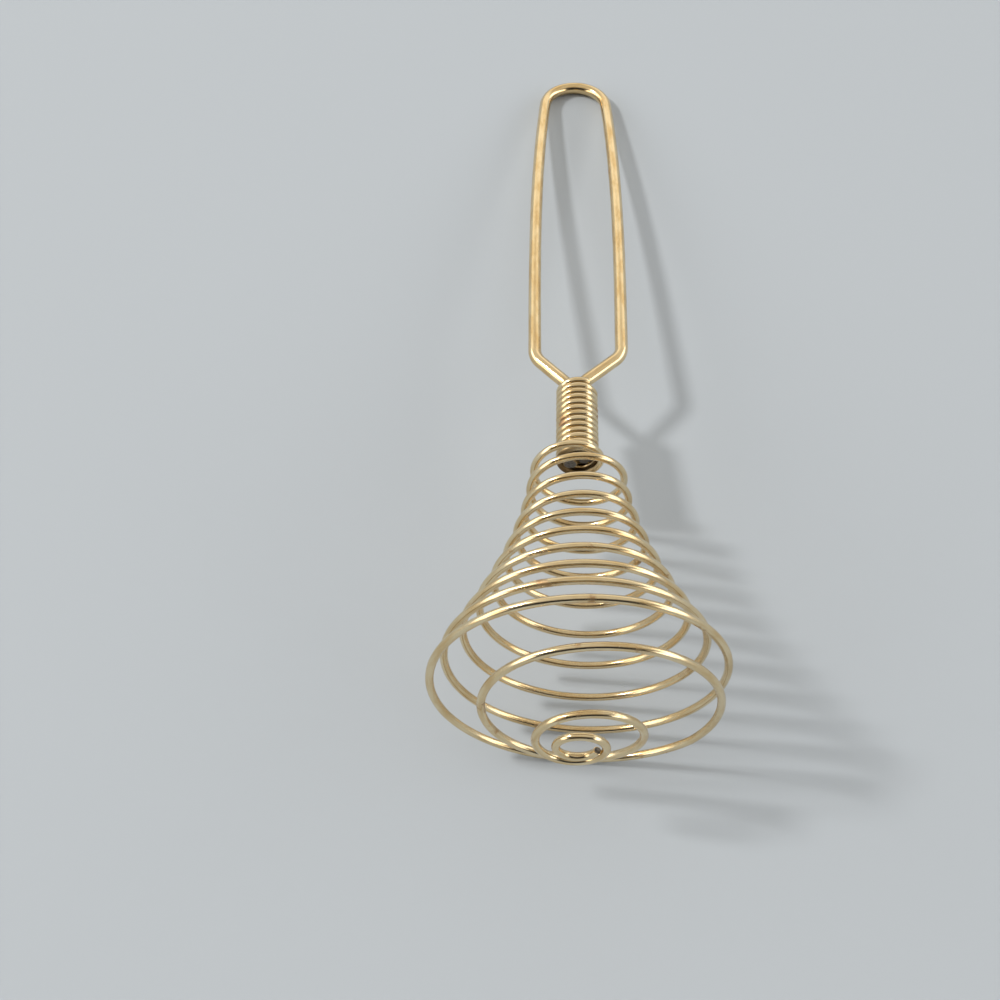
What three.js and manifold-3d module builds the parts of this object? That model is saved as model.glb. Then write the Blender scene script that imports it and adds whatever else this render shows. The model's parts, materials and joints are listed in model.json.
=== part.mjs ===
// French whisk: a looped wire handle, and a springy coil of thinner wire wound on its two legs.
// Millimetres, +Z up. The whisk lies as it does on a table, on its widest turn and on the far
// bend of its handle. The coil's foot points to -Y and the handle to +Y.

import * as THREE from 'three';
import { mergeVertices } from 'three/addons/utils/BufferGeometryUtils.js';
import Module from 'manifold-3d';

// Round wire diameters
const HANDLE_WIRE = 3.0;
const COIL_WIRE = 1.6;

// Handle loop: lengths run along the whisk's axis, one after another, from the collar's last wire
// to the far end, and a leg whose cut end stands out of the collar has a minus there. They are those
// of the right side: the left shoulder is bent a little nearer to the collar, and the loop sits a
// little to the right of the axis. Widths and bend radii are to the wire's middle, leans are in
// degrees off the axis
const LEG_GAP = 0.1;
const LEFT_LEG_END = -0.9;
const RIGHT_LEG_END = 0.4;
const NECK_LENGTH = 22.8;
const LEFT_SHOULDER_DROP = 1.3;
const NECK_BEND_RADIUS = 3;
const SHOULDER_LENGTH = 8.7;
const SHOULDER_WIDTH = 19.95;
const SHOULDER_BEND_RADIUS = 5.5;
const SHOULDER_LEAN = 0.9;
const LEG_LENGTH = 95.75;
const LOOP_SHIFT = 0.4;
const FAR_WIDTH = 16.8;
const FAR_LEAN = 4.5;
const FAR_BEND_LENGTH = 8.2;

// Coil: radii are to the wire's middle, the pitch is the step along the axis of one turn
const COLLAR_LENGTH = 20;
const COLLAR_CLEARANCE = 0.25;
const COLLAR_WIRE_GAP = 0.45;
const NARROW_RADIUS = 9.67;
const WIDE_RADIUS = 28.2;
const FOOT_RADIUS = 3.6;
const FOOT_SHIFT = 0.45;
const FOOT_DROP = 0.8;
const CONE_PITCH = 5.76;

// Depth of the flats under the widest turn and under the far bend, where the whisk rests
const REST_FLAT = 0.16;

// Coil: turns, counted from the top of the first open turn and rising towards the foot
const COLLAR_END_TURN = -0.6;
const FLARE_START_TURN = -0.45;
const FLARE_END_TURN = 0.38;
const PITCH_EASE_TURNS = 0.4;
const WIDE_START_TURN = 8.9;
const WIDE_END_TURN = 9.65;
const DROP_START_TURN = 10;
const DROP_END_TURN = 11;
const LEVEL_START_TURN = 10.55;
const LEVEL_END_TURN = 12.25;
const SHIFT_END_TURN = 11.5;
const LAST_TURN = 12.7;

// Powers that shape the coil's outline: the cone swells like a bell and the foot closes to a ring
const CONE_SWELL = 1.69;
const FOOT_CLOSE = 2.3;

// Bezier pulls, as shares of the stretch that they bend
const LEG_PULL = 1 / 3;
const ROUND_PULL = 0.5523;

// Facets
const HANDLE_SIDES = 12;
const HANDLE_STEPS = 220;
const COIL_SIDES = 6;
const COLLAR_STEPS = 16;
const OPEN_STEPS = 24;

const WARM_METAL = 0xd8b67c;
const METAL_ROUGHNESS = 0.22;

const legOffset = (HANDLE_WIRE + LEG_GAP) / 2;
const shoulderAlong = NECK_LENGTH + SHOULDER_LENGTH;
const farAlong = shoulderAlong + LEG_LENGTH;
const farEnd = farAlong + FAR_BEND_LENGTH;
const collarRadius = legOffset + (HANDLE_WIRE + COIL_WIRE) / 2 + COLLAR_CLEARANCE;
const collarPitch = COIL_WIRE + COLLAR_WIRE_GAP;

const wasm = await Module();
wasm.setup();

function solidOf(geometry) {
  const bare = geometry.clone();
  bare.deleteAttribute('normal');
  bare.deleteAttribute('uv');
  const merged = mergeVertices(bare);
  const mesh = new wasm.Mesh({
    numProp: 3,
    vertProperties: new Float32Array(merged.attributes.position.array),
    triVerts: new Uint32Array(merged.index.array),
  });
  return new wasm.Manifold(mesh);
}

function geometryOf(solid) {
  const mesh = solid.getMesh();
  const geometry = new THREE.BufferGeometry();
  geometry.setAttribute('position', new THREE.BufferAttribute(mesh.vertProperties, 3));
  geometry.setIndex(new THREE.BufferAttribute(mesh.triVerts, 1));
  geometry.computeVertexNormals();
  return geometry;
}

function smoothstep(share) {
  return THREE.MathUtils.smoothstep(share, 0, 1);
}

// Area under a smoothstep that rises over the first unit and stays at one
function easedRun(share) {
  if (share <= 0) return 0;
  if (share >= 1) return share - 0.5;
  return share ** 3 - share ** 4 / 2;
}

function leanOver(degrees, length) {
  return length * Math.tan(THREE.MathUtils.degToRad(degrees));
}

// The arc that rounds the corner between two straight runs of wire, as one Bezier curve
function bend(before, corner, after, radius) {
  const back = before.clone().sub(corner).normalize();
  const onward = after.clone().sub(corner).normalize();
  const turned = Math.PI - back.angleTo(onward);
  const reach = radius * Math.tan(turned / 2);
  const pull = reach - (4 / 3) * radius * Math.tan(turned / 4);
  return new THREE.CubicBezierCurve3(
    corner.clone().addScaledVector(back, reach),
    corner.clone().addScaledVector(back, pull),
    corner.clone().addScaledVector(onward, pull),
    corner.clone().addScaledVector(onward, reach),
  );
}

// One side of the handle, from its cut end in the collar to the middle of the far bend
function handleSide(side, end, drop) {
  const inCollar = (along) => new THREE.Vector3(side * legOffset, along, 0);
  const at = (x, along) => new THREE.Vector3(LOOP_SHIFT + side * x, along, 0);
  const farX = FAR_WIDTH / 2;
  const cutEnd = inCollar(end);
  const neck = inCollar(NECK_LENGTH - drop);
  const shoulder = at(SHOULDER_WIDTH / 2, shoulderAlong - drop);
  const legAim = at(SHOULDER_WIDTH / 2 + leanOver(SHOULDER_LEAN, LEG_LENGTH), farAlong);
  const neckBend = bend(cutEnd, neck, shoulder, NECK_BEND_RADIUS);
  const shoulderBend = bend(neck, shoulder, legAim, SHOULDER_BEND_RADIUS);
  const legStart = shoulderBend.v3;
  const pull = LEG_PULL * (farAlong - legStart.y);
  const round = ROUND_PULL * FAR_BEND_LENGTH;
  return [
    new THREE.LineCurve3(cutEnd, neckBend.v0),
    neckBend,
    new THREE.LineCurve3(neckBend.v3, shoulderBend.v0),
    shoulderBend,
    new THREE.CubicBezierCurve3(
      legStart,
      new THREE.Vector3(side * leanOver(SHOULDER_LEAN, pull), pull, 0).add(legStart),
      at(farX + leanOver(FAR_LEAN, pull), farAlong - pull),
      at(farX, farAlong),
    ),
    new THREE.CubicBezierCurve3(
      at(farX, farAlong),
      at(farX - leanOver(FAR_LEAN, round), farAlong + round),
      at(ROUND_PULL * farX, farEnd),
      at(0, farEnd),
    ),
  ];
}

function reversed(curve) {
  if (curve.isLineCurve3) return new THREE.LineCurve3(curve.v2, curve.v1);
  return new THREE.CubicBezierCurve3(curve.v3, curve.v2, curve.v1, curve.v0);
}

function handleGeometry() {
  const path = new THREE.CurvePath();
  path.curves = handleSide(1, RIGHT_LEG_END, 0);
  const left = handleSide(-1, LEFT_LEG_END, LEFT_SHOULDER_DROP).reverse();
  path.curves.push(...left.map(reversed));
  const section = new THREE.Shape();
  section.absarc(0, 0, HANDLE_WIRE / 2, 0, 2 * Math.PI);
  return new THREE.ExtrudeGeometry(section, {
    steps: HANDLE_STEPS,
    curveSegments: HANDLE_SIDES / 2,
    bevelEnabled: false,
    extrudePath: path,
  });
}

// Radius of the coil's middle line: collar, flare, bell-shaped cone, widest turn, closing foot
function coilRadius(turn) {
  if (turn > WIDE_END_TURN) {
    const left = (LAST_TURN - turn) / (LAST_TURN - WIDE_END_TURN);
    return FOOT_RADIUS + (WIDE_RADIUS - FOOT_RADIUS) * left ** FOOT_CLOSE;
  }
  const flare = smoothstep((turn - FLARE_START_TURN) / (FLARE_END_TURN - FLARE_START_TURN));
  const coneTurns = WIDE_START_TURN - FLARE_END_TURN;
  const grown = THREE.MathUtils.clamp((turn - FLARE_END_TURN) / coneTurns, 0, 1);
  const swell = (WIDE_RADIUS - NARROW_RADIUS) * grown ** CONE_SWELL;
  return collarRadius + (NARROW_RADIUS - collarRadius) * flare + swell;
}

// Place along the axis: the collar's tight pitch eases to the cone's, and the foot drops, then lies level
function coilAlong(turn) {
  const easing = 2 * PITCH_EASE_TURNS;
  const opening = easedRun((turn + PITCH_EASE_TURNS) / easing) * easing;
  const levelling = LEVEL_END_TURN - LEVEL_START_TURN;
  const closing = easedRun((turn - LEVEL_START_TURN) / levelling) * levelling;
  const tight = collarPitch * (turn - COLLAR_END_TURN - closing);
  const drop = FOOT_DROP * smoothstep((turn - DROP_START_TURN) / (DROP_END_TURN - DROP_START_TURN));
  return -tight - (CONE_PITCH - collarPitch) * (opening - closing) - drop;
}

function coilPoint(turn) {
  const angle = 2 * Math.PI * turn;
  const radius = coilRadius(turn);
  const shifted = smoothstep((turn - WIDE_END_TURN) / (SHIFT_END_TURN - WIDE_END_TURN));
  const across = -radius * Math.sin(angle) - FOOT_SHIFT * shifted;
  return new THREE.Vector3(across, coilAlong(turn), radius * Math.cos(angle));
}

function coilTurns() {
  const turns = [];
  const collarSteps = Math.round((COLLAR_LENGTH / collarPitch) * COLLAR_STEPS);
  const firstOpen = Math.ceil(COLLAR_END_TURN * OPEN_STEPS);
  for (let step = collarSteps; step > 0; step -= 1) {
    turns.push(firstOpen / OPEN_STEPS - step / COLLAR_STEPS);
  }
  for (let step = firstOpen; step <= Math.floor(LAST_TURN * OPEN_STEPS); step += 1) {
    turns.push(step / OPEN_STEPS);
  }
  return turns;
}

// Least distance between the surfaces of two stretches that lie half a turn or more apart
function leastGap(turns, points) {
  let least = Infinity;
  for (let i = 0; i < points.length; i += 1) {
    for (let j = i + 1; j < points.length; j += 1) {
      if (turns[j] - turns[i] >= 0.5) least = Math.min(least, points[i].distanceTo(points[j]));
    }
  }
  return least - COIL_WIRE;
}

// A closed tube of flat-sided wire: one ring of corners at each point, and a fan over each end
function wireGeometry(points, diameter, sides) {
  const corners = [];
  const faces = [];
  const last = points.length - 1;
  points.forEach((point, i) => {
    const ahead = points[Math.min(i + 1, last)];
    const behind = points[Math.max(i - 1, 0)];
    const tangent = ahead.clone().sub(behind).normalize();
    const outward = new THREE.Vector3(point.x, 0, point.z).projectOnPlane(tangent).normalize();
    const across = tangent.clone().cross(outward);
    for (let side = 0; side < sides; side += 1) {
      const angle = (2 * Math.PI * side) / sides;
      const corner = point.clone();
      corner.addScaledVector(outward, (diameter / 2) * Math.cos(angle));
      corner.addScaledVector(across, (diameter / 2) * Math.sin(angle));
      corners.push(...corner.toArray());
      const next = (side + 1) % sides;
      if (i < last) {
        const here = i * sides;
        const there = here + sides;
        faces.push(here + side, here + next, there + side);
        faces.push(here + next, there + next, there + side);
      }
    }
  });
  for (let side = 1; side < sides - 1; side += 1) {
    faces.push(0, side + 1, side);
    faces.push(last * sides, last * sides + side, last * sides + side + 1);
  }
  const geometry = new THREE.BufferGeometry();
  geometry.setAttribute('position', new THREE.Float32BufferAttribute(corners, 3));
  geometry.setIndex(faces);
  geometry.computeVertexNormals();
  return geometry;
}

// Lean of the axis at which the underside of one turn and the far bend lie on the same table
function restLean(turn) {
  const reach = farEnd - coilAlong(turn);
  const drop = coilRadius(turn);
  const difference = (COIL_WIRE - HANDLE_WIRE) / 2;
  return Math.atan2(drop, reach) + Math.asin(difference / Math.hypot(reach, drop));
}

const turns = coilTurns();
const points = turns.map(coilPoint);
console.log(`coil: least gap to itself ${leastGap(turns, points).toFixed(2)} mm`);

const undersides = turns.filter((turn) => turn > 0 && turn % 1 === 0.5);
const axisLean = Math.max(...undersides.map(restLean));
const laid = new THREE.Matrix4().makeRotationX(-axisLean);
laid.setPosition(0, 0, farEnd * Math.sin(axisLean) + HANDLE_WIRE / 2 - REST_FLAT);

const table = new THREE.BoxGeometry(4 * WIDE_RADIUS, 4 * farEnd, WIDE_RADIUS);
table.translate(0, 0, -WIDE_RADIUS / 2);

function laidOnTable(geometry) {
  return geometryOf(solidOf(geometry.applyMatrix4(laid)).subtract(solidOf(table)));
}

function wirePiece(name, geometry) {
  const material = new THREE.MeshStandardMaterial({
    color: WARM_METAL,
    roughness: METAL_ROUGHNESS,
    metalness: 1,
  });
  const piece = new THREE.Mesh(geometry, material);
  piece.name = name;
  return piece;
}

const whisk = new THREE.Group();
whisk.add(wirePiece('handle_loop', laidOnTable(handleGeometry())));
whisk.add(wirePiece('whisk_coil', laidOnTable(wireGeometry(points, COIL_WIRE, COIL_SIDES))));

const box = new THREE.Box3().setFromObject(whisk);
whisk.position.set(-(box.min.x + box.max.x) / 2, -(box.min.y + box.max.y) / 2, -box.min.z);

export default whisk;
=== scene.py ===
import json
import math

import bpy
from bpy.props import FloatProperty, FloatVectorProperty, IntProperty, PointerProperty
from mathutils import Matrix, Vector


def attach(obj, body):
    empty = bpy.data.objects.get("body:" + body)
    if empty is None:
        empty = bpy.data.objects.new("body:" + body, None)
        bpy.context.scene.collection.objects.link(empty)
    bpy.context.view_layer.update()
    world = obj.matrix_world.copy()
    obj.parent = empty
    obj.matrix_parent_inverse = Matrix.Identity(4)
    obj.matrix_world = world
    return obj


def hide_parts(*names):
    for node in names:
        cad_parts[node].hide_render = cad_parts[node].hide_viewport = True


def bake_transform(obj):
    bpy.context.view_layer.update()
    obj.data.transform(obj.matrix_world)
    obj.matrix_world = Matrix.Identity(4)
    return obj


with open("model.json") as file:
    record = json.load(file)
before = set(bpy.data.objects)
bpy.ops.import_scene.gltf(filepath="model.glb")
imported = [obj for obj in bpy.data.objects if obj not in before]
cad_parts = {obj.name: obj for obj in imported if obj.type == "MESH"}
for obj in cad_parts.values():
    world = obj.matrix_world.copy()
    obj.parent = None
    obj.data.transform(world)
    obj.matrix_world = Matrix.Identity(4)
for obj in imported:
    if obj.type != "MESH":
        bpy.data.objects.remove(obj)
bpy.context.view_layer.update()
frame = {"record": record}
PRESS_AXIS = Vector(frame["record"]["behaviour"]["joints"][0]["axis"]).normalized()

# Corners around each wire, and the edge angle above which the shading breaks
HANDLE_SIDES = 32
COIL_SIDES = 20
SMOOTH_ANGLE = math.radians(35)

# Bezier pull that makes a quarter round, as a share of its radius
ROUND_PULL = 0.5523

# Dirt between the collar's touching turns, painted shade on its last turn in the collar's mouth, and a
# darkening of the legs inside the collar: their shares, and where they fade, in turns of the coil and in
# metres along the legs
COLLAR_GRIME = 0.45
MOUTH_SHADE = 0.9
LEG_DARKENING = 0.75
COLLAR_GRIME_FADE = 0.9
MOUTH_SHADE_TURNS = 0.45
MOUTH_SHADE_FADE = 0.2
LEG_DARKENING_END = 0.0195
LEG_DARKENING_FADE = 0.005

# Noise level from which tarnish shows, the level that it needs to be full, and how dense it gets
HANDLE_TARNISH_FROM = 0.66
COIL_TARNISH_FROM = 0.60
TARNISH_RISE = 0.12
TARNISH_DENSITY = 0.72
SPECK_DENSITY = 0.35

# Share of each colour that is left where the plating is deepest, and the dark marks of a cut end
DEEP_PLATING = Vector((0.84, 0.74, 0.58))
CUT_MARKS = 0.45

# Studio light by direction, as plain radiance
FRONT_LIGHT = (0.03, 0.03, 0.035)
CEILING_LIGHT = (0.70, 0.66, 0.59)
BACK_BOX_LIGHT = (1.20, 1.13, 1.02)
SIDE_BOX_LIGHT = (2.75, 2.65, 2.50)
BACKDROP_LIGHT = (0.60, 0.63, 0.66)
CEILING_FACING = (0, 0.5, 0.866)

KEY_PLACE = (-3.7, 0.7, 3.7)
KEY_SIZE = 0.6
KEY_POWER = 130
KEY_TINT = (1, 0.96, 0.90)

FLOOR_RADIUS = 40
FLOOR_LEVEL = -0.00017

# The camera stands off the collar's mouth, in the whisk's own directions
CAMERA_PLACE = Vector((-0.012286, -0.162527, 0.200078))
CAMERA_RIGHT = Vector((0.99951, 0.03117, 0.00363))
CAMERA_UP = Vector((-0.02705, 0.79692, 0.60349))
CAMERA_SENSOR = 36
CAMERA_LENS = 43.2

bl_info = {
    "name": "French whisk",
    "version": (1, 0, 0),
    "blender": (4, 5, 0),
    "location": "View3D > Sidebar > Whisk",
    "description": "Bends the handle and winds the coil of a french whisk, and lights it on a pale floor",
    "category": "Object",
}


def length(name, description, default):
    return FloatProperty(
        name=name, description=description, default=default, precision=5, subtype="DISTANCE", unit="LENGTH"
    )


def angle(name, description, degrees):
    return FloatProperty(
        name=name, description=description, default=math.radians(degrees), subtype="ANGLE", unit="ROTATION"
    )


def turns(name, description, default):
    return FloatProperty(name=name, description=description, default=default, precision=3)


def steps(name, description, default):
    return IntProperty(name=name, description=description, default=default, min=1)


def colour(name, description, default):
    return FloatVectorProperty(
        name=name, description=description, default=default, size=3, min=0, max=1, subtype="COLOR"
    )


class WhiskHandleSizes(bpy.types.PropertyGroup):
    """Sizes of the looped handle, to the middle of its wire"""

    wire: length("Wire", "Diameter of the handle's round wire", 0.0030)
    leg_gap: length("Leg gap", "Gap between the two legs inside the collar", 0.0001)
    left_end: length("Left end", "Left leg's cut end, inwards from the collar's last wire", -0.0009)
    right_end: length("Right end", "Right leg's cut end, inwards from the collar's last wire", 0.0004)
    neck_length: length("Neck", "From the collar's mouth to where the right leg turns out", 0.0228)
    left_drop: length("Left drop", "How much nearer to the collar the left leg turns out", 0.0013)
    neck_bend: length("Neck bend", "Radius of the bend where a leg leaves the collar", 0.0030)
    shoulder_length: length("Shoulder", "Length along the axis of a slanted shoulder", 0.0087)
    shoulder_width: length("Shoulder width", "Width of the loop at the shoulder's corners", 0.01995)
    shoulder_bend: length("Shoulder bend", "Radius of the shoulder's outer bend", 0.0055)
    shoulder_lean: angle("Shoulder lean", "How far a long side leans outwards above the shoulder", 0.9)
    loop_shift: length("Loop shift", "How far the loop sits to the right of the collar's axis", 0.0004)
    side_length: length("Long side", "Length along the axis of the loop's right long side", 0.09575)
    far_width: length("Far width", "Width of the loop where the far bend starts", 0.0168)
    far_lean: angle("Far lean", "How far a long side leans inwards before the far bend", 4.5)
    far_bend: length("Far bend", "Length along the axis of the far bend", 0.0082)
    end_round: length("End round", "Chamfer on the rim of a cut end", 0.00022)


class WhiskCoilSizes(bpy.types.PropertyGroup):
    """Sizes of the coil, to the middle of its wire; its turns count up from the collar to the foot"""

    wire: length("Wire", "Diameter of the coil's round wire", 0.0016)
    mouth: FloatVectorProperty(
        name="Mouth",
        description="Middle of the collar's mouth",
        default=(0.00027407, -0.03363752, 0.02059846),
        precision=5,
        subtype="TRANSLATION",
        unit="LENGTH",
    )
    collar_radius: length("Collar radius", "Radius of the close-wound collar", 0.00385)
    narrow_radius: length("Narrow radius", "Radius of the first open turn", 0.00967)
    wide_radius: length("Wide radius", "Radius of the widest turn", 0.0282)
    foot_radius: length("Foot radius", "Radius of the small end ring", 0.0038)
    foot_shift: length("Foot shift", "How far the small end ring sits to the left of the axis", 0.00045)
    foot_drop: length("Foot drop", "Extra step along the axis where the coil closes in", 0.0010)
    cone_pitch: length("Cone pitch", "Step along the axis of one open turn", 0.00576)
    collar_turns: turns("Collar turns", "Touching turns in the collar", 12.5)
    collar_end: turns("Collar end", "Turn at which the touching turns end", -0.6)
    flare_start: turns("Flare start", "Turn at which the wire leaves the collar", -0.45)
    flare_end: turns("Flare end", "Turn at which the first open turn is reached", 0.38)
    pitch_ease: turns("Pitch ease", "Turns over which the pitch opens, before and after turn 0", 0.4)
    wide_start: turns("Wide start", "Turn at which the coil is widest", 8.9)
    wide_end: turns("Wide end", "Turn at which the coil starts to close in", 9.65)
    drop_start: turns("Drop start", "Turn at which the foot starts to drop", 10.0)
    drop_end: turns("Drop end", "Turn at which the foot has dropped", 11.0)
    level_start: turns("Level start", "Turn at which the foot starts to lie level", 10.55)
    level_end: turns("Level end", "Turn at which the foot is level", 11.95)
    shift_end: turns("Shift end", "Turn at which the foot has shifted sideways", 11.5)
    last_turn: turns("Last turn", "Turn at which the wire is cut", 12.7)
    cone_swell: turns("Cone swell", "Power that shapes the bell", 1.69)
    foot_close: turns("Foot close", "Power that shapes the closing spiral of the foot", 2.45)
    end_round: length("End round", "Chamfer on the rim of a cut end", 0.00015)


class WhiskFinish(bpy.types.PropertyGroup):
    """Colours of the metal and of the stage, and the fineness of the wires"""

    handle_metal: colour("Handle metal", "Clean wire of the handle", (0.83, 0.66, 0.39))
    coil_metal: colour("Coil metal", "Clean wire of the coil", (0.79, 0.655, 0.42))
    tarnish: colour("Tarnish", "Brown blotches on the wire", (0.33, 0.155, 0.055))
    # Dark brown of the dirt between the collar's turns; the same colour is painted shade on the collar's
    # last turn at its mouth, and darkens the legs inside the collar
    grime_and_shade: colour("Grime", "Dirt held between touching turns", (0.11, 0.065, 0.025))
    # Cut ends: dull oxidised grey, made darker still as painted shade
    cut: colour("Cut end", "Bare sheared ends of the wires", (0.21, 0.20, 0.19))
    floor: colour("Floor", "Pale floor", (0.47, 0.52, 0.58))
    handle_steps: steps("Handle steps", "Rings in each bend of the handle", 24)
    collar_steps: steps("Collar steps", "Rings in each turn of the collar", 40)
    open_steps: steps("Open steps", "Rings in each open turn of the coil", 80)


def whisk_frame(scene):
    """Turns (across, along, off) from the collar's mouth into the part's own frame"""
    across = Vector((1, 0, 0))
    off = across.cross(PRESS_AXIS)
    turned = Matrix((across, PRESS_AXIS, off)).transposed()
    return Matrix.Translation(scene.whisk_coil.mouth) @ turned.to_4x4()


def smoothstep(share):
    share = min(max(share, 0.0), 1.0)
    return share * share * (3 - 2 * share)


def eased_run(share):
    """Area under a smoothstep that rises over the first unit and stays at one"""
    if share <= 0:
        return 0.0
    if share >= 1:
        return share - 0.5
    return share**3 - share**4 / 2


def straight(start, end):
    return start, start.lerp(end, 1 / 3), start.lerp(end, 2 / 3), end


def corner_bend(before, corner, after, radius):
    """The arc that rounds a corner of the wire, as one Bezier stretch"""
    back = (before - corner).normalized()
    onward = (after - corner).normalized()
    turned = math.pi - back.angle(onward)
    reach = radius * math.tan(turned / 2)
    pull = reach - 4 / 3 * radius * math.tan(turned / 4)
    return corner + back * reach, corner + back * pull, corner + onward * pull, corner + onward * reach


def handle_side(sizes, side, end, drop):
    """Bezier stretches of one side of the loop, from its cut end to the middle of the far bend"""

    def at(across, along, shift=sizes.loop_shift):
        return Vector((shift + side * across, along, 0))

    leg = (sizes.wire + sizes.leg_gap) / 2
    half_width = sizes.shoulder_width / 2
    far_half = sizes.far_width / 2
    shoulder_along = sizes.neck_length + sizes.shoulder_length
    far_along = shoulder_along + sizes.side_length
    far_end = far_along + sizes.far_bend
    cut_end = at(leg, end, 0)
    neck = at(leg, sizes.neck_length - drop, 0)
    shoulder = at(half_width, shoulder_along - drop)
    aim = at(half_width + sizes.side_length * math.tan(sizes.shoulder_lean), far_along)
    neck_bend = corner_bend(cut_end, neck, shoulder, sizes.neck_bend)
    shoulder_bend = corner_bend(neck, shoulder, aim, sizes.shoulder_bend)
    start = shoulder_bend[3]
    pull = (far_along - start.y) / 3
    rounding = ROUND_PULL * sizes.far_bend
    long_side = (
        start,
        start + Vector((side * pull * math.tan(sizes.shoulder_lean), pull, 0)),
        at(far_half + pull * math.tan(sizes.far_lean), far_along - pull),
        at(far_half, far_along),
    )
    far_bend = (
        at(far_half, far_along),
        at(far_half - rounding * math.tan(sizes.far_lean), far_along + rounding),
        at(ROUND_PULL * far_half, far_end),
        at(0, far_end),
    )
    return [
        straight(cut_end, neck_bend[0]),
        neck_bend,
        straight(neck_bend[3], shoulder_bend[0]),
        shoulder_bend,
        long_side,
        far_bend,
    ]


def coil_radius(sizes, turn):
    if turn > sizes.wide_end:
        left = (sizes.last_turn - turn) / (sizes.last_turn - sizes.wide_end)
        closing_in = (sizes.wide_radius - sizes.foot_radius) * max(left, 0) ** sizes.foot_close
        return sizes.foot_radius + closing_in
    flare = smoothstep((turn - sizes.flare_start) / (sizes.flare_end - sizes.flare_start))
    grown = (turn - sizes.flare_end) / (sizes.wide_start - sizes.flare_end)
    swell = (sizes.wide_radius - sizes.narrow_radius) * min(max(grown, 0), 1) ** sizes.cone_swell
    return sizes.collar_radius + (sizes.narrow_radius - sizes.collar_radius) * flare + swell


def coil_along(sizes, turn):
    easing = 2 * sizes.pitch_ease
    opening = eased_run((turn + sizes.pitch_ease) / easing) * easing
    levelling = sizes.level_end - sizes.level_start
    closing = eased_run((turn - sizes.level_start) / levelling) * levelling
    tight = sizes.wire * (turn - sizes.collar_end - closing)
    drop = sizes.foot_drop * smoothstep((turn - sizes.drop_start) / (sizes.drop_end - sizes.drop_start))
    return -tight - (sizes.cone_pitch - sizes.wire) * (opening - closing) - drop


def coil_point(sizes, turn):
    around = 2 * math.pi * turn
    radius = coil_radius(sizes, turn)
    shift = sizes.foot_shift * smoothstep((turn - sizes.wide_end) / (sizes.shift_end - sizes.wide_end))
    across = -radius * math.sin(around) - shift
    return Vector((across, coil_along(sizes, turn), radius * math.cos(around)))


def coil_turns(sizes, finish):
    """Turns at which the coil gets a ring of corners, from the collar's top to the cut end of the foot"""
    collar = round(sizes.collar_turns * finish.collar_steps)
    opened = round((sizes.last_turn - sizes.collar_end) * finish.open_steps)
    tight = [sizes.collar_end - step / finish.collar_steps for step in range(collar, 0, -1)]
    return tight + [sizes.collar_end + step / finish.open_steps for step in range(opened + 1)]


def new_wire(name, diameter, sides, steps):
    """Adds a round-bevelled curve with no points yet"""
    bpy.ops.object.select_all(action="DESELECT")
    bpy.ops.curve.primitive_bezier_curve_add(location=(0, 0, 0))
    wire = bpy.context.object
    wire.name = name
    wire.data.splines.clear()
    wire.data.dimensions = "3D"
    wire.data.twist_mode = "MINIMUM"
    wire.data.resolution_u = steps
    wire.data.bevel_mode = "ROUND"
    wire.data.bevel_depth = diameter / 2
    wire.data.bevel_resolution = (sides - 4) // 2
    return wire


def tube_of(wire, sides):
    """Makes the bevelled curve a mesh, notes on every corner its place along the wire, in
    millimetres, and around it, and gives the middle of each ring"""
    bpy.ops.object.convert(target="MESH")
    mesh = wire.data
    mesh.name = wire.name
    corners = [vertex.co.copy() for vertex in mesh.vertices]
    rings = len(corners) // sides
    if rings * sides != len(corners):
        raise RuntimeError(f"{wire.name}: the tube's corners don't make whole rings")
    middles = [sum(corners[i * sides : (i + 1) * sides], Vector()) / sides for i in range(rings)]
    lengths = [0.0]
    for before, after in zip(middles, middles[1:]):
        lengths.append(lengths[-1] + (after - before).length)
    places = mesh.attributes.new("wire_place", "FLOAT_VECTOR", "POINT")
    for i in range(rings):
        for side in range(sides):
            around = 2 * math.pi * side / sides
            place = (lengths[i] * 1000, math.cos(around), math.sin(around))
            places.data[i * sides + side].vector = place
    return middles


def note_grime_and_shade(wire, shares):
    """Keeps on every corner its share of the dark colour, which stands for dirt and for painted shade"""
    grime_and_shade = wire.data.attributes.new("grime_and_shade", "FLOAT", "POINT")
    grime_and_shade.data.foreach_set("value", shares)


def close_ends(wire, chamfer):
    """Fills both cut ends and chamfers their rims; the bare cut faces take the second material"""
    bpy.ops.object.mode_set(mode="EDIT")
    bpy.ops.mesh.select_mode(type="EDGE")
    bpy.ops.mesh.select_all(action="DESELECT")
    bpy.ops.mesh.select_non_manifold()
    bpy.ops.mesh.fill_holes(sides=0)
    bpy.ops.mesh.select_mode(type="FACE")
    bpy.ops.mesh.select_all(action="DESELECT")
    bpy.ops.object.mode_set(mode="OBJECT")
    for face in wire.data.polygons:
        face.select = len(face.vertices) > 4
    bpy.ops.object.mode_set(mode="EDIT")
    bpy.ops.mesh.inset(thickness=chamfer, depth=chamfer * 0.55, use_individual=True)
    bpy.ops.mesh.inset(thickness=chamfer * 0.9, depth=chamfer * 0.12, use_individual=True)
    bpy.ops.object.mode_set(mode="OBJECT")
    caps = [face for face in wire.data.polygons if len(face.vertices) > 4]
    if len(caps) != 2:
        raise RuntimeError(f"{wire.name}: {len(caps)} cut ends instead of two")
    rims = {frozenset(cap.vertices) for cap in caps}
    for face in wire.data.polygons:
        bare = any(len(rim.intersection(face.vertices)) >= 2 for rim in rims)
        face.material_index = 1 if bare else 0


def finish_mesh(wire):
    bpy.ops.object.mode_set(mode="EDIT")
    bpy.ops.mesh.select_all(action="SELECT")
    bpy.ops.mesh.normals_make_consistent(inside=False)
    bpy.ops.object.mode_set(mode="OBJECT")
    bpy.ops.object.shade_smooth_by_angle(angle=SMOOTH_ANGLE)


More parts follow.
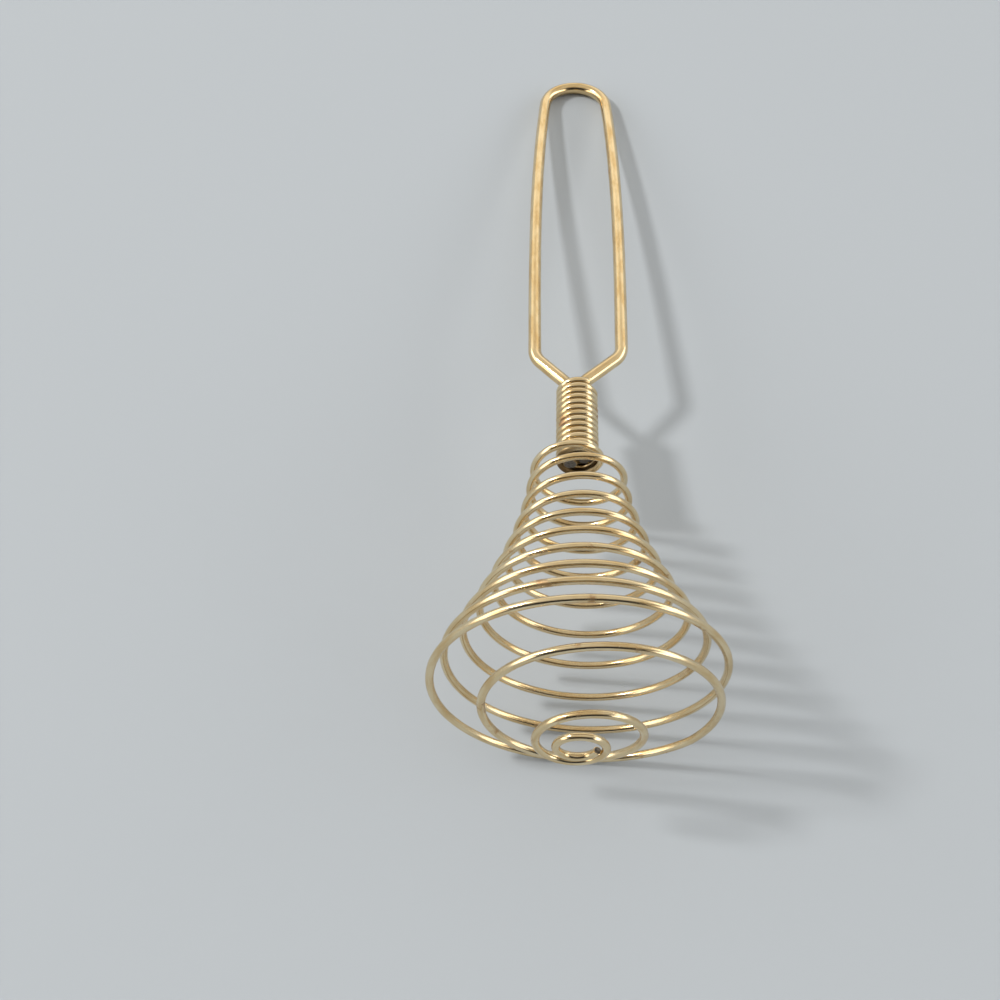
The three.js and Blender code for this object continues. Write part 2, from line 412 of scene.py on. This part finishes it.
def add_node(material, kind, values=(), **settings):
    """Adds a shader node, sets its fields and its unlinked sockets"""
    node = material.node_tree.nodes.new(kind)
    for name, value in settings.items():
        setattr(node, name, value)
    for socket, value in dict(values).items():
        node.inputs[socket].default_value = value
    return node


def new_material(name):
    material = bpy.data.materials.new(name)
    material.use_nodes = True
    shader = material.node_tree.nodes["Principled BSDF"]
    return material, shader, material.node_tree.links.new


def ramp_of(material, link, source, low, high):
    """Share from 0 to 1 as a pattern rises from low to high"""
    spread = add_node(
        material, "ShaderNodeMapRange", {"From Min": low, "From Max": high}, interpolation_type="SMOOTHSTEP"
    )
    link(source, spread.inputs["Value"])
    return spread.outputs["Result"]


def mix_colours(material, link, share, first, second):
    """Mixes two colours by a share; either may be a socket or a plain colour"""
    mix = add_node(material, "ShaderNodeMix", data_type="RGBA")
    link(share, mix.inputs["Factor"])
    for socket, value in ((mix.inputs[6], first), (mix.inputs[7], second)):
        if isinstance(value, bpy.types.NodeSocket):
            link(value, socket)
        else:
            socket.default_value = (*value, 1)
    return mix.outputs[2]


def add_scaled(material, link, base, share, amount):
    """base + share x amount; base and amount may be sockets or plain numbers"""
    sum_node = add_node(material, "ShaderNodeMath", operation="MULTIPLY_ADD")
    link(share, sum_node.inputs[0])
    for socket, value in ((sum_node.inputs[1], amount), (sum_node.inputs[2], base)):
        if isinstance(value, bpy.types.NodeSocket):
            link(value, socket)
        else:
            socket.default_value = value
    return sum_node.outputs[0]


def drawn_metal(name, finish, metal, tarnish_from):
    """Bright drawn wire: fine marks along it, uneven plating, brown blotches, specks, and dirt with painted
    shade
    """
    material, shader, link = new_material(name)
    place = add_node(material, "ShaderNodeAttribute", attribute_name="wire_place")
    coords = add_node(material, "ShaderNodeTexCoord")

    along = add_node(material, "ShaderNodeMapping", {"Scale": (0.22, 7, 7)})
    link(place.outputs["Vector"], along.inputs["Vector"])
    draw_marks = add_node(material, "ShaderNodeTexNoise", {"Scale": 1, "Detail": 4, "Roughness": 0.6})
    link(along.outputs["Vector"], draw_marks.inputs["Vector"])

    slow = add_node(material, "ShaderNodeMapping", {"Scale": (0.16, 0.8, 0.8)})
    link(place.outputs["Vector"], slow.inputs["Vector"])
    plating = add_node(material, "ShaderNodeTexNoise", {"Scale": 1, "Detail": 3, "Roughness": 0.55})
    link(slow.outputs["Vector"], plating.inputs["Vector"])

    blotch = add_node(material, "ShaderNodeTexNoise", {"Scale": 165, "Detail": 5, "Roughness": 0.62})
    link(coords.outputs["Object"], blotch.inputs["Vector"])
    specks = add_node(material, "ShaderNodeTexNoise", {"Scale": 2600, "Detail": 2, "Roughness": 0.5})
    link(coords.outputs["Object"], specks.inputs["Vector"])
    grime_and_shade = add_node(material, "ShaderNodeAttribute", attribute_name="grime_and_shade")

    plating_share = ramp_of(material, link, plating.outputs["Fac"], 0.35, 0.72)
    tarnish_full = tarnish_from + TARNISH_RISE
    tarnish_share = ramp_of(material, link, blotch.outputs["Fac"], tarnish_from, tarnish_full)
    speck_share = ramp_of(material, link, specks.outputs["Fac"], 0.70, 0.78)
    mark_share = ramp_of(material, link, draw_marks.outputs["Fac"], 0.30, 0.75)
    thin_tarnish = add_scaled(material, link, 0.0, tarnish_share, TARNISH_DENSITY)
    thin_specks = add_scaled(material, link, thin_tarnish, speck_share, SPECK_DENSITY)

    deep_metal = Vector(metal) * DEEP_PLATING
    tone = mix_colours(material, link, plating_share, metal, deep_metal)
    tone = mix_colours(material, link, thin_specks, tone, finish.tarnish)
    # Darkened by each corner's share: dirt between the collar's turns, painted shade at its mouth, darker
    # legs inside it
    tone = mix_colours(material, link, grime_and_shade.outputs["Fac"], tone, finish.grime_and_shade)
    link(tone, shader.inputs["Base Color"])

    rough = add_scaled(material, link, 0.13, mark_share, 0.09)
    rough = add_scaled(material, link, rough, plating_share, 0.05)
    rough = add_scaled(material, link, rough, thin_specks, 0.32)
    rough = add_scaled(material, link, rough, grime_and_shade.outputs["Fac"], 0.35)
    link(rough, shader.inputs["Roughness"])

    lines = add_node(material, "ShaderNodeBump", {"Strength": 0.22, "Distance": 0.00002})
    link(draw_marks.outputs["Fac"], lines.inputs["Height"])
    pits = add_node(material, "ShaderNodeBump", {"Strength": 0.3, "Distance": 0.00002}, invert=True)
    link(thin_specks, pits.inputs["Height"])
    link(lines.outputs["Normal"], pits.inputs["Normal"])
    link(pits.outputs["Normal"], shader.inputs["Normal"])
    shader.inputs["Metallic"].default_value = 1
    return material


def sheared_metal(name, finish):
    """Grey metal of a bare sheared wire end, darkened partly by oxide and partly as painted shade, with the
    marks of the cutter
    """
    material, shader, link = new_material(name)
    coords = add_node(material, "ShaderNodeTexCoord")
    stretched = add_node(material, "ShaderNodeMapping", {"Scale": (1, 1, 4)})
    link(coords.outputs["Object"], stretched.inputs["Vector"])
    tears = add_node(material, "ShaderNodeTexNoise", {"Scale": 1500, "Detail": 4, "Roughness": 0.6})
    link(stretched.outputs["Vector"], tears.inputs["Vector"])
    share = ramp_of(material, link, tears.outputs["Fac"], 0.35, 0.7)
    dark = tuple(value * CUT_MARKS for value in finish.cut)
    link(mix_colours(material, link, share, finish.cut, dark), shader.inputs["Base Color"])
    link(add_scaled(material, link, 0.38, share, 0.25), shader.inputs["Roughness"])
    bump = add_node(material, "ShaderNodeBump", {"Strength": 0.5, "Distance": 0.00005})
    link(tears.outputs["Fac"], bump.inputs["Height"])
    link(bump.outputs["Normal"], shader.inputs["Normal"])
    shader.inputs["Metallic"].default_value = 1
    return material


class WHISK_OT_bend_handle(bpy.types.Operator):
    """Bend the thick wire into the looped handle"""

    bl_idname = "whisk.bend_handle"
    bl_label = "Bend handle"

    def execute(self, context):
        sizes = context.scene.whisk_handle
        finish = context.scene.whisk_finish
        wire = new_wire("bent_handle", sizes.wire, HANDLE_SIDES, finish.handle_steps)
        left = handle_side(sizes, -1, sizes.left_end, sizes.left_drop)
        stretches = handle_side(sizes, 1, sizes.right_end, 0)
        stretches += [stretch[::-1] for stretch in reversed(left)]
        spline = wire.data.splines.new("BEZIER")
        spline.bezier_points.add(len(stretches))
        placed = whisk_frame(context.scene)
        for point in spline.bezier_points:
            point.handle_left_type = "FREE"
            point.handle_right_type = "FREE"
        for i, (start, pull_out, pull_in, end) in enumerate(stretches):
            here, there = spline.bezier_points[i], spline.bezier_points[i + 1]
            here.co = placed @ start
            here.handle_right = placed @ pull_out
            there.handle_left = placed @ pull_in
            there.co = placed @ end
        spline.bezier_points[0].handle_left = spline.bezier_points[0].co
        spline.bezier_points[-1].handle_right = spline.bezier_points[-1].co
        unplaced = placed.inverted()
        shares = []
        for middle in tube_of(wire, HANDLE_SIDES):
            along = (unplaced @ middle).y
            # Darker on the legs inside the collar, fading out just past its top
            undarkened = smoothstep((along - LEG_DARKENING_END) / LEG_DARKENING_FADE)
            shares += [LEG_DARKENING * (1 - undarkened)] * HANDLE_SIDES
        note_grime_and_shade(wire, shares)
        metal = drawn_metal("handle_wire_metal", finish, finish.handle_metal, HANDLE_TARNISH_FROM)
        wire.data.materials.append(metal)
        wire.data.materials.append(sheared_metal("handle_cut_metal", finish))
        close_ends(wire, sizes.end_round)
        finish_mesh(wire)
        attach(wire, "handle")
        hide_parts("handle_loop")
        return {"FINISHED"}


class WHISK_OT_wind_coil(bpy.types.Operator):
    """Wind the thin wire into collar, bell and foot"""

    bl_idname = "whisk.wind_coil"
    bl_label = "Wind coil"

    def execute(self, context):
        sizes = context.scene.whisk_coil
        finish = context.scene.whisk_finish
        wire = new_wire("wound_coil", sizes.wire, COIL_SIDES, 1)
        placed = whisk_frame(context.scene)
        wound = coil_turns(sizes, finish)
        spline = wire.data.splines.new("POLY")
        spline.points.add(len(wound) - 1)
        for point, turn in zip(spline.points, wound):
            point.co = (*(placed @ coil_point(sizes, turn)), 1)
        middles = tube_of(wire, COIL_SIDES)
        if len(middles) != len(wound):
            raise RuntimeError("wound_coil: the tube has lost rings")
        note_grime_and_shade(wire, self.grime_and_shade_shares(wire, sizes, placed, wound, middles))
        metal = drawn_metal("coil_wire_metal", finish, finish.coil_metal, COIL_TARNISH_FROM)
        wire.data.materials.append(metal)
        wire.data.materials.append(sheared_metal("coil_cut_metal", finish))
        close_ends(wire, sizes.end_round)
        finish_mesh(wire)
        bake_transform(wire)
        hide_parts("whisk_coil")
        return {"FINISHED"}

    def grime_and_shade_shares(self, wire, sizes, placed, wound, middles):
        """Dirt between the collar's touching turns, and painted shade on the inner and lower sides of its
        last turn
        """
        shares = []
        for i, (turn, middle) in enumerate(zip(wound, middles)):
            from_end = turn - sizes.collar_end
            tight = COLLAR_GRIME * (1 - smoothstep((from_end + COLLAR_GRIME_FADE) / COLLAR_GRIME_FADE))
            begun = smoothstep((from_end + MOUTH_SHADE_TURNS) / MOUTH_SHADE_FADE)
            ended = smoothstep((turn - sizes.flare_start) / MOUTH_SHADE_FADE)
            # Painted shade on the inner and lower sides of the collar's last turn, at its mouth
            last = MOUTH_SHADE * begun * (1 - ended)
            axis_point = placed @ Vector((0, coil_along(sizes, turn), 0))
            for vertex in wire.data.vertices[i * COIL_SIDES : (i + 1) * COIL_SIDES]:
                outward = (vertex.co - middle).normalized()
                facing = outward.dot(PRESS_AXIS)
                inwards = outward.dot((axis_point - middle).normalized())
                between = tight * smoothstep((abs(facing) - 0.55) / 0.45)
                mouth = last * smoothstep((max(-facing, inwards) + 0.1) / 0.5)
                shares.append(max(between, mouth))
        return shares


def soft_lamp(name, place, size, power, tint):
    """Adds a lamp that faces the whisk and that no camera sees"""
    bpy.ops.object.light_add(type="AREA", location=place)
    lamp = bpy.context.object
    lamp.name = name
    lamp.data.shape = "SQUARE"
    lamp.data.size = size
    lamp.data.energy = power
    lamp.data.color = tint
    lamp.rotation_mode = "QUATERNION"
    lamp.rotation_quaternion = (-Vector(place)).to_track_quat("-Z", "Y")
    lamp.visible_camera = False


class WHISK_OT_set_stage(bpy.types.Operator):
    """Lay the pale floor, set the light and stand the camera"""

    bl_idname = "whisk.set_stage"
    bl_label = "Set stage"

    def execute(self, context):
        self.lay_floor(context.scene.whisk_finish)
        self.light(context.scene)
        self.stand_camera(context.scene)
        context.scene.view_settings.view_transform = "Standard"
        return {"FINISHED"}

    def lay_floor(self, finish):
        bpy.ops.object.select_all(action="DESELECT")
        bpy.ops.mesh.primitive_circle_add(
            vertices=96, radius=FLOOR_RADIUS, fill_type="NGON", location=(0, 0, FLOOR_LEVEL)
        )
        floor = bpy.context.object
        floor.name = "pale_floor"
        material, shader, _ = new_material("pale_floor_paint")
        shader.inputs["Base Color"].default_value = (*finish.floor, 1)
        shader.inputs["Roughness"].default_value = 0.85
        shader.inputs["Specular IOR Level"].default_value = 0.2
        floor.data.materials.append(material)

    def light(self, scene):
        """A dark front, a bright ceiling that leans back, a soft box on each side and one behind, and a
        pale backdrop low down all round"""
        world = bpy.data.worlds.new("soft_studio")
        world.use_nodes = True
        scene.world = world
        link = world.node_tree.links.new
        coords = add_node(world, "ShaderNodeTexCoord")
        split = add_node(world, "ShaderNodeSeparateXYZ")
        leaning = add_node(world, "ShaderNodeVectorMath", {1: CEILING_FACING}, operation="DOT_PRODUCT")
        sideways = add_node(world, "ShaderNodeMath", operation="ABSOLUTE")
        link(coords.outputs["Generated"], split.inputs[0])
        link(coords.outputs["Generated"], leaning.inputs[0])
        link(split.outputs["X"], sideways.inputs[0])
        overhead = ramp_of(world, link, leaning.outputs["Value"], 0.32, 0.70)
        above_backdrop = ramp_of(world, link, split.outputs["Z"], 0.13, 0.25)
        below_ceiling = ramp_of(world, link, split.outputs["Z"], 0.60, 0.48)
        at_sides = ramp_of(world, link, sideways.outputs[0], 0.62, 0.74)
        at_back = ramp_of(world, link, split.outputs["Y"], 0.60, 0.76)
        band = add_scaled(world, link, 0.0, above_backdrop, below_ceiling)
        side_boxes = add_scaled(world, link, 0.0, band, at_sides)
        back_box = add_scaled(world, link, 0.0, band, at_back)
        backdrop = ramp_of(world, link, split.outputs["Z"], 0.26, 0.11)
        light = mix_colours(world, link, overhead, FRONT_LIGHT, CEILING_LIGHT)
        light = mix_colours(world, link, back_box, light, BACK_BOX_LIGHT)
        light = mix_colours(world, link, side_boxes, light, SIDE_BOX_LIGHT)
        light = mix_colours(world, link, backdrop, light, BACKDROP_LIGHT)
        link(light, world.node_tree.nodes["Background"].inputs["Color"])
        soft_lamp("key_lamp", KEY_PLACE, KEY_SIZE, KEY_POWER, KEY_TINT)

    def stand_camera(self, scene):
        placed = whisk_frame(scene)
        bpy.ops.object.camera_add(location=placed @ CAMERA_PLACE)
        camera = bpy.context.object
        right = placed.to_3x3() @ CAMERA_RIGHT
        up = placed.to_3x3() @ CAMERA_UP
        camera.rotation_mode = "QUATERNION"
        camera.rotation_quaternion = Matrix((right, up, right.cross(up))).transposed().to_quaternion()
        camera.data.sensor_fit = "HORIZONTAL"
        camera.data.sensor_width = CAMERA_SENSOR
        camera.data.lens = CAMERA_LENS
        camera.data.clip_start = 0.01
        scene.camera = camera


class WHISK_PT_sidebar(bpy.types.Panel):
    """Sizes, colours and steps of the whisk"""

    bl_label = "French whisk"
    bl_idname = "WHISK_PT_sidebar"
    bl_space_type = "VIEW_3D"
    bl_region_type = "UI"
    bl_category = "Whisk"

    def draw(self, context):
        groups = (
            ("Handle", context.scene.whisk_handle, WHISK_OT_bend_handle),
            ("Coil", context.scene.whisk_coil, WHISK_OT_wind_coil),
            ("Finish and stage", context.scene.whisk_finish, WHISK_OT_set_stage),
        )
        for title, group, operator in groups:
            box = self.layout.box()
            box.label(text=title)
            for name in group.__annotations__:
                box.prop(group, name)
            box.operator(operator.bl_idname)


CLASSES = (
    WhiskHandleSizes,
    WhiskCoilSizes,
    WhiskFinish,
    WHISK_OT_bend_handle,
    WHISK_OT_wind_coil,
    WHISK_OT_set_stage,
    WHISK_PT_sidebar,
)


def register():
    for each in CLASSES:
        bpy.utils.register_class(each)
    bpy.types.Scene.whisk_handle = PointerProperty(type=WhiskHandleSizes)
    bpy.types.Scene.whisk_coil = PointerProperty(type=WhiskCoilSizes)
    bpy.types.Scene.whisk_finish = PointerProperty(type=WhiskFinish)


def unregister():
    del bpy.types.Scene.whisk_finish
    del bpy.types.Scene.whisk_coil
    del bpy.types.Scene.whisk_handle
    for each in reversed(CLASSES):
        bpy.utils.unregister_class(each)


def main():
    register()
    bpy.ops.whisk.bend_handle()
    bpy.ops.whisk.wind_coil()
    bpy.ops.whisk.set_stage()


if __name__ == "__main__":
    main()
